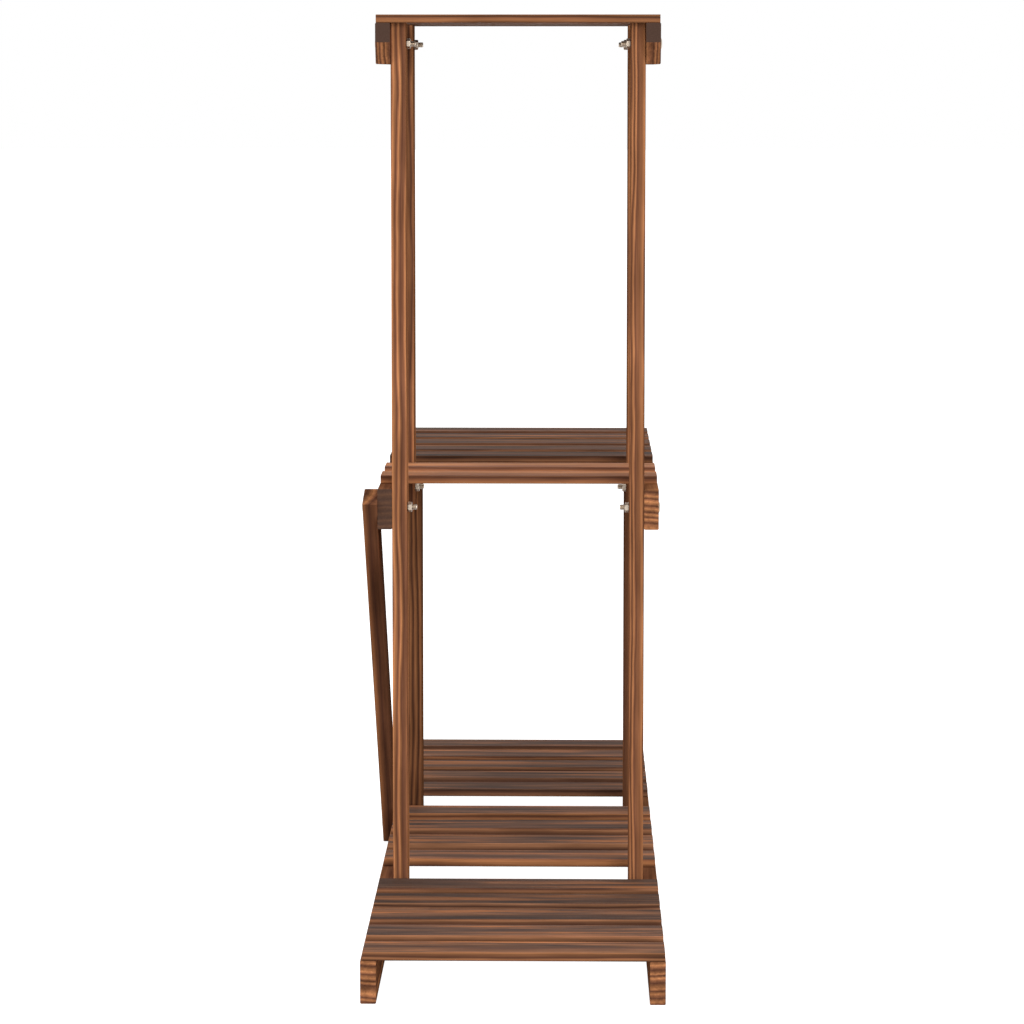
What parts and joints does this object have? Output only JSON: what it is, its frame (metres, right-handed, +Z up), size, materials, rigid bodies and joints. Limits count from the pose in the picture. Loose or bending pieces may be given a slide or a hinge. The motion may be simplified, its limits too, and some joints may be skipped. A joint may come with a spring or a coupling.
{
  "type": "flower stand",
  "caption": "Stepped flower stand of dark-stained fir: slatted shelves on paired rails, bolted between upright posts, with a diagonal brace across the back.",
  "frame": {"origin": "on the floor, at the middle of the part's box: the middle of the bottom rails' length, and half a brace thickness behind the middle of their width", "axes": "+X along the length from the tall end to the low end, +Y to the back, where the brace is, +Z up"},
  "size_m": [0.91, 0.2662, 0.8088],
  "materials": {
    "burnt_fir": "satin, burnt and stained softwood grain",
    "plated_steel": "zinc plated",
    "nail_steel": "plain"
  },
  "bodies": {
    "root": {"bottom_bolts": "plated_steel", "bottom_nuts": "plated_steel", "bottom_rail_back": "burnt_fir", "bottom_rail_front": "burnt_fir", "bottom_slat_01": "burnt_fir", "bottom_slat_02": "burnt_fir", "bottom_slat_03": "burnt_fir", "bottom_slat_04": "burnt_fir", "bottom_slat_05": "burnt_fir", "bottom_slat_06": "burnt_fir", "bottom_slat_07": "burnt_fir", "bottom_slat_08": "burnt_fir", "bottom_slat_09": "burnt_fir", "bottom_slat_10": "burnt_fir", "bottom_slat_11": "burnt_fir", "bottom_slat_12": "burnt_fir", "bottom_slat_13": "burnt_fir", "bottom_slat_14": "burnt_fir", "bottom_slat_nails": "nail_steel", "brace_bolts": "plated_steel", "diagonal_brace": "burnt_fir", "mid_bolts": "plated_steel", "mid_nuts": "plated_steel", "mid_rail_back": "burnt_fir", "mid_rail_front": "burnt_fir", "mid_slat_01": "burnt_fir", "mid_slat_02": "burnt_fir", "mid_slat_03": "burnt_fir", "mid_slat_04": "burnt_fir", "mid_slat_05": "burnt_fir", "mid_slat_06": "burnt_fir", "mid_slat_07": "burnt_fir", "mid_slat_nails": "nail_steel", "short_post_back": "burnt_fir", "short_post_front": "burnt_fir", "tall_post_back": "burnt_fir", "tall_post_front": "burnt_fir", "top_bolts": "plated_steel", "top_nuts": "plated_steel", "top_rail_back": "burnt_fir", "top_rail_front": "burnt_fir", "top_slat_01": "burnt_fir", "top_slat_02": "burnt_fir", "top_slat_03": "burnt_fir", "top_slat_04": "burnt_fir", "top_slat_05": "burnt_fir", "top_slat_nails": "nail_steel", "upper_post_back": "burnt_fir", "upper_post_front": "burnt_fir"}
  },
  "joints": []
}
